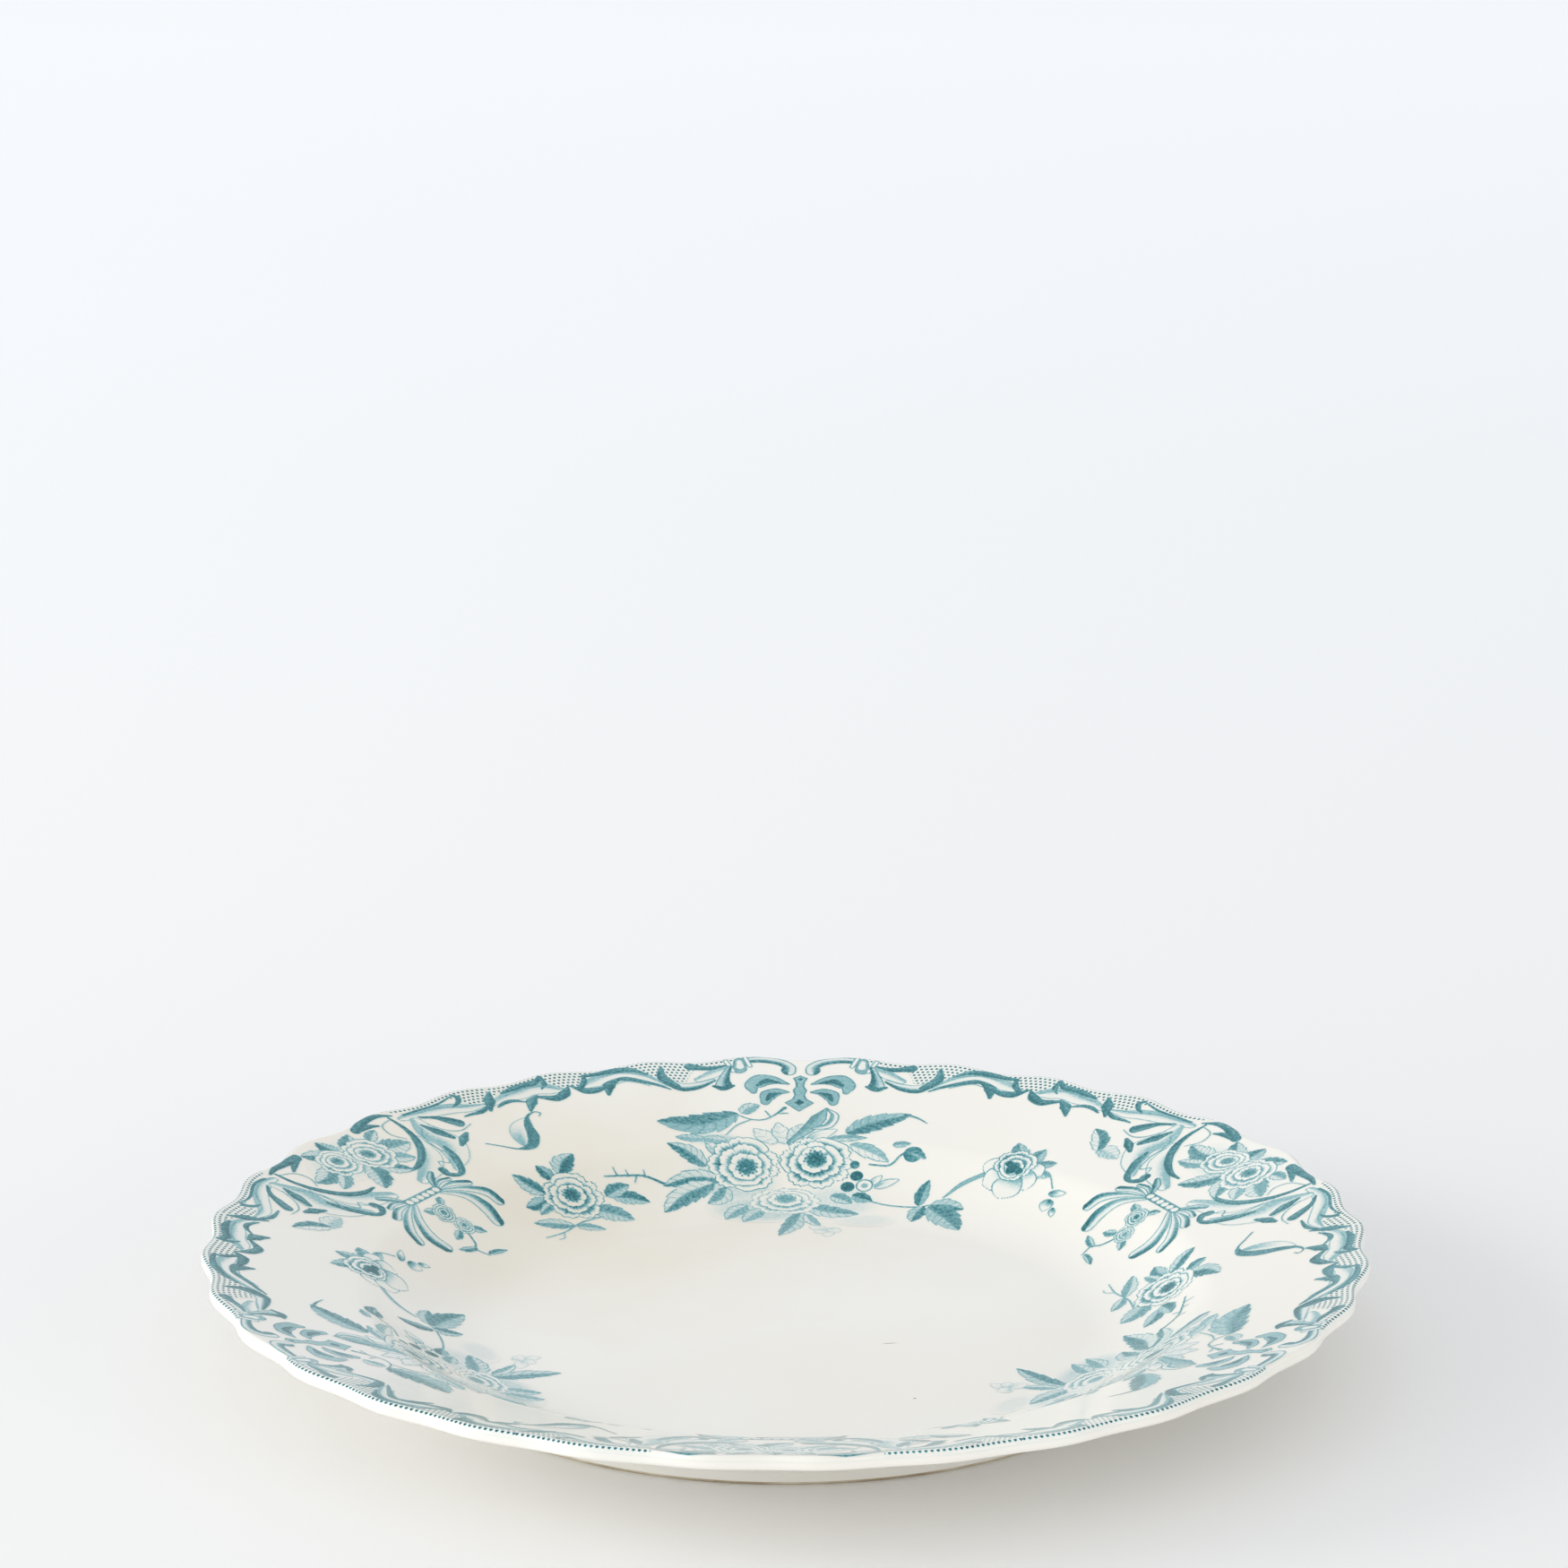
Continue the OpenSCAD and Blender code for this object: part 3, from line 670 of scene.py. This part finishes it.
def lay_film(name, film, middle, node):
    """Lays a drawn film on the glaze about an angle in degrees: its grid follows the face and drops
    over the lip in a quarter ellipse and down its wall, is lifted a hair along the normal, and cells
    without ink are left out. Its map is folded into even bands, to fill a square."""
    angle = film.angle + math.radians(middle)
    r = rim_r - np.maximum(film.inward, 0)
    out = scalloped(r, angle)
    over = np.clip(1 - film.inward / lip_round, 0, 1)
    up = face_height(out) - 0.42 * lip_t * (1 - np.sqrt(1 - over ** 2)) + np.minimum(film.inward, 0)
    grid = np.stack([out * np.sin(angle), out * np.cos(angle), up], -1).reshape(*film.shape, 3)
    normal = np.cross(np.gradient(grid, axis=1), np.gradient(grid, axis=0))
    grid = grid + film_lift * normal / np.linalg.norm(normal, axis=-1, keepdims=True)
    index = np.arange(len(r)).reshape(film.shape)
    inked = (np.maximum(film.ink, film.net) > 0.015).reshape(film.shape)
    keep = inked[:-1, :-1] | inked[1:, :-1] | inked[:-1, 1:] | inked[1:, 1:]
    quads = np.stack([index[:-1, :-1], index[:-1, 1:], index[1:, 1:], index[1:, :-1]], -1)[keep]
    used, quads = np.unique(quads, return_inverse=True)
    quads = quads.reshape(-1, 4)
    mesh = bpy.data.meshes.new(name)
    mesh.from_pydata(grid.reshape(-1, 3)[used] * MM, [], quads.tolist())
    mesh.polygons.foreach_set("use_smooth", np.ones(len(quads), bool))
    mesh.attributes.new("ink", "FLOAT", "POINT").data.foreach_set("value", film.ink[used].astype(np.float32))
    along = film.angle * rim_r
    net_place = np.column_stack([along, film.inward, film.net])[used].astype(np.float32)
    mesh.attributes.new("net_place", "FLOAT_VECTOR", "POINT").data.foreach_set("vector", net_place.ravel())
    column, row = used[quads] // film.shape[1], used[quads] % film.shape[1]
    bands = max(1, round(math.sqrt(film.shape[0] / film.shape[1])))
    band_columns = (film.shape[0] - 1) / bands
    band = np.floor((column.min(1) + 0.5) / band_columns)[:, None]
    u = (column - band * band_columns) / band_columns * 0.98 + 0.01
    v = (band + (row + 1) / (film.shape[1] + 1)) / bands
    mesh.uv_layers.new(name="OFBake").data.foreach_set("uv", np.stack([u, v], -1).astype(np.float32).ravel())
    piece = bpy.data.objects.new(name, mesh)
    scene.collection.objects.link(piece)
    mesh.materials.append(printed_glaze)
    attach(piece, "root")
    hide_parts(node)


printed_glaze, tree, shader, glaze_colour = gloss_finish("printed_gloss_glaze")
ink_read = add_node(tree, "ShaderNodeAttribute", attribute_name="ink").outputs["Fac"]
net_read = add_node(tree, "ShaderNodeAttribute", attribute_name="net_place").outputs["Vector"]
net_split = add_node(tree, "ShaderNodeSeparateXYZ", {0: net_read})
# The net: rows of round dots, each row set half a step along from the one before
dot_step, row_step = 1.2, 1.16
rows = add_node(tree, "ShaderNodeMath", {0: net_split.outputs["Y"], 1: row_step}, operation="DIVIDE")
row = add_node(tree, "ShaderNodeMath", {0: rows.outputs[0]}, operation="FLOOR")
steps = add_node(tree, "ShaderNodeMath", {0: net_split.outputs["X"], 1: dot_step}, operation="DIVIDE")
shifted = add_node(tree, "ShaderNodeMath", {0: row.outputs[0], 1: 0.5, 2: steps.outputs[0]},
                   operation="MULTIPLY_ADD")
across_dot, down_dot = (add_node(tree, "ShaderNodeMath", {0: add_node(tree, "ShaderNodeMath", {
    0: way.outputs[0]}, operation="FRACT").outputs[0], 1: 0.5}, operation="SUBTRACT") for way in (shifted,
                                                                                                  rows))
dot_place = add_node(tree, "ShaderNodeCombineXYZ", {"X": across_dot.outputs[0], "Y": down_dot.outputs[0]})
dot_away = add_node(tree, "ShaderNodeVectorMath", {0: dot_place.outputs[0]}, operation="LENGTH")
dot_tone = add_node(tree, "ShaderNodeMapRange", {"Value": dot_away.outputs["Value"], "From Min": 0.33,
                                                "From Max": 0.22, "To Min": 0.05, "To Max": 1.0})
net_tone = add_node(tree, "ShaderNodeMath", {0: dot_tone.outputs[0], 1: net_split.outputs["Z"]},
                    operation="MULTIPLY")
drawn = add_node(tree, "ShaderNodeMath", {0: ink_read, 1: net_tone.outputs[0]}, operation="MAXIMUM")
place = add_node(tree, "ShaderNodeTexCoord").outputs["Object"]
stipple = add_node(tree, "ShaderNodeTexNoise", {"Vector": place, "Scale": 1500, "Detail": 2})
stipple_share = add_node(tree, "ShaderNodeMapRange",
                         {"Value": stipple.outputs[0], "From Min": 0.3, "From Max": 0.7,
                                                     "To Min": 0.72, "To Max": 1.2})
patchy = add_node(tree, "ShaderNodeTexNoise", {"Vector": place, "Scale": 60, "Detail": 3})
patchy_share = add_node(tree, "ShaderNodeMapRange",
                        {"Value": patchy.outputs[0], "From Min": 0.3, "From Max": 0.7,
                                                    "To Min": 0.78, "To Max": 1.02})
strength = add_node(tree, "ShaderNodeMath", {0: stipple_share.outputs[0], 1: patchy_share.outputs[0]},
                    operation="MULTIPLY")
printed = add_node(tree, "ShaderNodeMath", {0: drawn.outputs[0], 1: strength.outputs[0]},
                   operation="MULTIPLY",
                   use_clamp=True)
ink_colour = add_node(tree, "ShaderNodeValToRGB", {"Fac": printed.outputs[0]})
stops = ink_colour.color_ramp.elements
stops[0].color, stops[1].color = daylight(192, 217, 217), daylight(8, 88, 96)
for where, colour in ((0.35, (140, 188, 192)), (0.68, (56, 132, 140))):
    stops.new(where).color = daylight(*colour)
covered = add_node(tree, "ShaderNodeMapRange", {"Value": printed.outputs[0], "From Max": 0.3})
glazed_print = add_node(tree, "ShaderNodeMix", {"Factor": covered.outputs[0], "A": glaze_colour,
                                                "B": ink_colour.outputs["Color"]}, data_type="RGBA")
tree.links.new(glazed_print.outputs["Result"], shader.inputs["Base Color"])

for third in range(3):
    lay_film(f"border_film_{third + 1}", border, 120 * third, f"border_print_{third + 1}")

# ---- Cartouche print ----
# Between the strips, three cartouches: a pair of roses with their leaves in a frame of two C-scrolls,
# and under them a beaded bar that holds feathers and a small hanging flower.
cartouche_at = 126.7
cartouche = Transfer(24, print_start, 52.5, 0.22)
cartouche.along_edge(cartouche_at, -1)
draw_edging(cartouche)
draw_hooked_sprigs(cartouche, 1)
cartouche.facing(0)
cartouche.wash((0, 118), (17, 9), 0.16)
for base, tip, width, bend, tone in (
        ((-8, 118.5), (-17.6, 116.4), 6.6, 0.8, (0.16, 0.7)),
        ((-7, 115.5), (-14, 111), 4.4, 0.4, (0.14, 0.55)),
        ((9, 118.5), (18, 114), 7.4, -0.8, (0.14, 0.6)), ((8, 115), (13.6, 109.6), 4.6, -0.4, (0.14, 0.5)),
        ((-3, 121), (-10, 125.6), 5.4, 0.3, (0.2, 0.85)), ((2, 121.5), (8.4, 126.4), 5, -0.3, (0.2, 0.7)),
        ((-1, 121), (-1.5, 127), 5, 0, (0.3, 0.9)), ((10, 121), (15.6, 122.6), 4, 0.3, (0.16, 0.6)),
        ((1, 114), (-4.6, 105.4), 6.4, 0.7, (0.2, 0.8)), ((3, 113.5), (8.6, 107), 5.4, -0.4, (0.16, 0.7))):
    cartouche.leaf(base, tip, width, bend, ink=tone)
cartouche.rose((-4.6, 118.2), 5.8, (0.1, 0.16), (6, 5, 5), ink=0.8)
cartouche.rose((5.6, 117.4), 6.4, (-0.16, 0.1), (7, 6, 5), ink=0.8, turn=0.7, squash=1.1)
for side in (-1, 1):
    cartouche.brush([(side * 10.6, 103.6), (side * 8.4, 102), (side * 6, 99.3)], (1.4, 2.2, 0.9), side,
                    ink=(0.25, 0.8), outline=0.7)
    for points, widths in (
            ([(5, 97), (9.6, 92.6), (11.2, 87.8), (10.2, 83.4)], (0.8, 2.6, 3.9, 3.2)),
            ([(5.8, 97.4), (11, 94.8), (15.2, 91), (16, 87.4)], (0.7, 2.0, 3.0, 2.6)),
            ([(6.2, 97.8), (10.8, 97.6), (14.2, 95.6)], (0.6, 2.2, 2.4)),
            ([(6.2, 98.6), (9.2, 100), (11.8, 99.4)], (0.5, 1.6, 1.5))):
        mirrored = [(side * x, y) for x, y in points]
        cartouche.brush(mirrored, widths, side, ink=(0.12, 0.95), outline=0.62, fade=(0.3, 1.15))
cartouche.brush([(-5.4, 98.4), (5.4, 98.4)], (2.7, 2.7), ink=(0.7, 0.7))
for bead_place in np.linspace(-5.2, 5.2, 6):
    cartouche.disc((bead_place, 98.4), 0.92, 0.04)
cartouche.brush([(0.4, 86), (-1.4, 81.4), (-3.2, 79.6), (-2.2, 76.4)], (0.5, 0.5, 0.45, 0.35), ink=(0.6, 0.7))
for base, tip, width in (((-2.6, 79.8), (-7.6, 81.6), 2.2), ((-2, 77), (3.4, 75.4), 2),
                         ((1.6, 85.4), (4.8, 82.4), 2.6),
                         ((-1.6, 86), (-5, 84.2), 2.6), ((-2, 93), (-5.6, 94.2), 2.8),
                         ((1, 93.6), (3.2, 96), 2.4)):
    cartouche.leaf(base, tip, width, 0.2, 2, ink=(0.25, 0.75))
cartouche.rose((-0.9, 91.6), 3.1, (0, 0), (5, 5, 4), ink=1.0)
cartouche.rose((0.9, 86.4), 2.7, (0.1, 0.1), (5, 4, 4), ink=0.75)
for third in range(3):
    lay_film(f"cartouche_film_{third + 1}", cartouche, 120 * third + 60, f"cartouche_print_{third + 1}")

# ---- Bouquet print ----
# Three bouquets lie over the wall of the well: two open roses and a paler one below, with leaves
# round them, and thin stems that trail a spray with a flower of its own to either side.
bouquet = Transfer(50, 15, 72, 0.23)
for middle, reach, tone in (((-15, 81), (13, 9), 0.2), ((9, 74), (12, 8), 0.14), ((-8, 71), (14, 7), 0.22),
                            ((-19, 93.4), (9, 3), 0.24), ((16, 66), (8, 4), 0.1)):
    bouquet.wash(middle, reach, tone)
thin = (0.35, 0.5, 0.35)
bouquet.brush([(-30, 77.6), (-35, 79), (-39.4, 78), (-44.4, 76.2)], (0.8, 0.6, 0.6, 0.4), ink=(0.7, 0.8))
for thorn in ([(-35, 78.8), (-35.6, 80.8)], [(-38.8, 78), (-39.8, 79.6)], [(-41.6, 77.4), (-42.8, 79.4)],
              [(-37, 78.4), (-37.2, 76.4)]):
    bouquet.brush(thorn, (0.5, 0.25), ink=(0.6, 0.7))
bouquet.brush([(15, 75.6), (21, 72.6), (27.5, 71), (31, 71.2)], (0.5, 0.45, 0.5, 0.4), ink=(0.5, 0.6))
bouquet.brush([(17, 86.4), (21.6, 85.6), (24.4, 88), (26.6, 89.2)], (0.4, 0.5, 0.5, 0.4), ink=(0.7, 0.75))
bouquet.brush([(-15, 104.2), (-11.4, 102.2), (-8, 102.4), (-5.4, 104.8), (-3.4, 107.6)],
              (0.4, 0.4, 0.4, 0.5, 1.0),
              ink=(0.6, 0.7))
for twig in ([(-17, 95.4), (-14.6, 99.6), (-11.4, 102)], [(-6.6, 103.4), (-8, 105.8)],
             [(-5, 105), (-2.6, 105.4)]):
    bouquet.brush(twig, thin, ink=(0.5, 0.6))
leaves = (
    ((-14.6, 104.4), (-33.6, 99), 9, 2.6, 4, (0.36, 0.72), -1),
    ((-13.6, 104.4), (-9.4, 108), 4.4, 0.7, 2, (0.2, 0.5), -1),
    ((-4, 94), (-10.6, 98.6), 5, 0.8, 2, (0.05, 0.12), 1),
    ((-2, 93), (-5, 101.4), 5, 0.5, 2, (0.05, 0.14), 1),
    ((-1, 93), (1, 101), 5, 0.3, 2, (0.06, 0.2), 1), ((2, 93), (9.4, 98.6), 4, 0.5, 0, (0.1, 0.5), 1),
    ((11.4, 97), (27, 103.6), 7, 1.0, 5, (0.34, 0.8), -1),
    ((7, 94.6), (16.6, 94.8), 3, 0.3, 2, (0.2, 0.5), 1),
    ((-21, 85), (-30.8, 90.4), 5, -0.7, 4, (0.2, 0.8), 1), ((-17, 88), (-22, 93), 3.4, 0.3, 2, (0.1, 0.3), 1),
    ((-16.6, 93.2), (-22.6, 93.6), 3.4, 0, 3, (0.22, 0.4), 1),
    ((-22, 93.4), (-29, 93.2), 3.4, 0, 3, (0.22, 0.4), 1),
    ((-17, 81.6), (-30.6, 77), 5.4, -1.6, 4, (0.16, 0.82), 1),
    ((-19, 80), (-29.6, 67.6), 7, -1.6, 5, (0.14, 0.8), 1),
    ((-16, 79), (-20, 72.6), 5, 1.2, 3, (0.2, 0.7), -1),
    ((-11, 73), (-15.6, 66), 4.4, -0.6, 3, (0.2, 0.55), 1),
    ((-7, 72), (-11.6, 64.8), 4.4, -0.4, 3, (0.2, 0.5), 1),
    ((2.4, 73), (14.6, 69.4), 5.6, -0.8, 4, (0.2, 0.62), 1),
    ((1.4, 71), (-3.2, 56), 5.4, 0.7, 4, (0.24, 0.7), -1),
    ((2.6, 69.6), (6, 62.4), 3.4, -0.5, 3, (0.14, 0.5), 1),
    ((12.4, 92.6), (21.6, 86.6), 4.4, 0.5, 3, (0.08, 0.4), 1),
    ((17, 80), (20, 82.8), 2.2, 0, 0, (0.1, 0.5), 1),
    ((18, 79), (24, 81), 2.6, 0.2, 0, (0.1, 0.5), 1), ((13, 77), (17.6, 74.6), 4, 0, 3, (0.4, 0.9), 1),
    ((8, 77), (13, 74), 4, 0.3, 3, (0.2, 0.6), 1), ((28.2, 71.4), (31, 79.6), 3.6, 0.4, 3, (0.4, 0.85), 1),
    ((29.4, 71), (26.6, 65), 4.6, -0.4, 3, (0.25, 0.8), 1),
    ((31, 71.2), (38.6, 68), 5, 0.6, 3, (0.25, 0.8), -1),
    ((30.4, 70.6), (37.4, 59.6), 7.4, 0.6, 4, (0.3, 0.8), 1),
    ((22.6, 91.6), (27, 91.6), 2.6, 0, 2, (0.3, 0.6), 1))
for base, tip, width, bend, teeth, tone, dark_side in leaves:
    bouquet.leaf(base, tip, width, bend, teeth, tone, dark_side)
bouquet.brush([(25.4, 103.8), (28.4, 101.8), (30.6, 99.4)], (0.9, 0.6, 0.3), ink=(0.7, 0.75))
bouquet.brush([(-2, 93.4), (2.2, 98.6), (4.8, 103.2), (6.6, 107.2)], (1.2, 3.2, 4.0, 0.5), 1, ink=(0.4, 0.62),
              outline=0.8)
bouquet.brush([(6.8, 107), (8.6, 104), (7.2, 100.2), (3.6, 99)], (0.4, 2.2, 2.4, 1.0), -1, ink=(0.04, 0.6),
              outline=0.7)
bouquet.rose((-2.4, 74.6), 8.4, (0, 0.24), (8, 7, 5), ink=0.6, turn=0.4, squash=0.62)
bouquet.rose((-12.4, 86.4), 8.6, (0.12, -0.12), (7, 6, 5), ink=1.0, turn=0.3)
bouquet.rose((4.6, 87.6), 8.8, (-0.06, 0.2), (8, 6, 6), ink=1.0, turn=1.5, squash=0.92)
for middle, radius, tone in (((14, 83.2), 1.5, 0.95), ((11.9, 79.9), 1.6, 0.95), ((27.4, 88), 2.3, 0.8),
                             ((13.6, 86.6), 1.1, 0.7)):
    bouquet.disc(middle, radius, tone, outline=0.95)
bouquet.disc((15.8, 80), 2, 0.05, outline=0.8)
bouquet.disc((15.8, 80), 0.8, 0.4)
bouquet.leaf((27, 88.6), (30.4, 86), 2.4, 0.3, 2, (0.4, 0.8), 1)
for petal_tip in ((7.4, 55.6), (4.6, 58.4), (10.6, 59), (3.4, 62.6)):
    bouquet.leaf((7.6, 60.6), petal_tip, 3.2, 0.3, 0, (0.06, 0.28), 1, outline=0.3)

# The spray on the left: a rose among leaves, with a bud on a curling stem
bouquet.facing(-60)
bouquet.brush([(33.6, 68.6), (27, 71), (20.4, 71.4), (15.4, 72.8)], (0.5, 0.5, 0.45, 0.35), ink=(0.5, 0.6))
bouquet.brush([(20.4, 71.4), (18.4, 70), (17, 70.4)], (0.4, 0.35, 0.3), ink=(0.4, 0.5))
for base, tip, width, bend, teeth, tone, dark_side in (
        ((28, 82.4), (25.8, 91), 4.8, 0.5, 4, (0.24, 0.86), -1),
        ((33, 84), (33.2, 89.4), 4, 0, 3, (0.4, 0.9), 1),
        ((35.4, 84), (44, 86.2), 6, 0.8, 4, (0.24, 0.92), -1),
        ((27, 81), (20.4, 82.4), 4.6, 0.4, 4, (0.3, 0.92), 1),
        ((27.4, 79.4), (21.4, 78.8), 3, -0.2, 3, (0.2, 0.7), 1),
        ((40, 71.6), (44.8, 64.2), 5, 0.6, 4, (0.3, 0.9), 1),
        ((33, 72), (36.6, 63), 6.4, 0.6, 4, (0.24, 0.62), 1),
        ((24.6, 71.4), (17.6, 78), 4, -0.4, 4, (0.2, 0.66), 1),
        ((24.8, 71), (28.6, 65.4), 3.2, 0.3, 3, (0.2, 0.6), 1),
        ((39, 72.6), (46, 71), 4.6, 0.4, 3, (0.3, 0.85), 1)):
    bouquet.leaf(base, tip, width, bend, teeth, tone, dark_side)
bouquet.rose((32.6, 77.6), 7.6, (0.05, 0.14), (7, 6, 5), ink=1.0, turn=0.9)

# The spray on the right: a drooping flower of five broad petals on an arching stem, and three buds
bouquet.facing(60)
bouquet.brush([(-46.4, 66.1), (-47, 71.6), (-45.6, 77), (-43.6, 80)], (0.5, 1.3, 1.2, 0.8),
              ink=(0.25, 0.4), outline=0.6)
bouquet.brush([(-38.4, 86.6), (-33, 87.6), (-28.6, 85.6)], (0.4, 0.4, 0.4), ink=(0.5, 0.6))
for base, tip, width, bend, teeth, tone, dark_side in (
        ((-41, 86), (-49.6, 89.2), 5.4, 0.5, 4, (0.3, 0.7), 1),
        ((-39.4, 86.4), (-42.6, 92.6), 4.4, 0.4, 3, (0.3, 0.7), 1),
        ((-38, 86), (-35.6, 91.4), 4, 0.3, 3, (0.35, 0.7), 1),
        ((-37.6, 84.6), (-32, 87.6), 3.4, 0.3, 3, (0.3, 0.6), 1),
        ((-28.2, 84), (-24.4, 86.8), 2.2, 0, 0, (0.6, 0.95), 1),
        ((-26.6, 83.2), (-24.6, 79.8), 3.6, 0, 0, (0.6, 0.98), 1),
        ((-23.6, 82), (-21.2, 80), 1.8, 0, 0, (0.6, 0.95), 1)):
    bouquet.leaf(base, tip, width, bend, teeth, tone, dark_side)
for petal_tip, width in (((-34.4, 86.4), 5), ((-48, 78.4), 6), ((-33.8, 81), 6), ((-43.2, 75), 7.4),
                         ((-37, 75.2), 7.8)):
    bouquet.leaf((-41.8, 84.4), petal_tip, width, 0.6, 0, (1.0, 1.3), 1, outline=0.8, swell=1.7)
bouquet.rose((-42.6, 84.2), 5.4, (0.2, -0.3), (6, 5, 4), ink=1.0)
for middle, radius in (((-41.8, 82.4), 1.3), ((-39.9, 83.4), 1.0), ((-43.6, 83.2), 1.0)):
    bouquet.disc(middle, radius, 0.95)
for third in range(3):
    lay_film(f"bouquet_film_{third + 1}", bouquet, 120 * third, f"bouquet_print_{third + 1}")
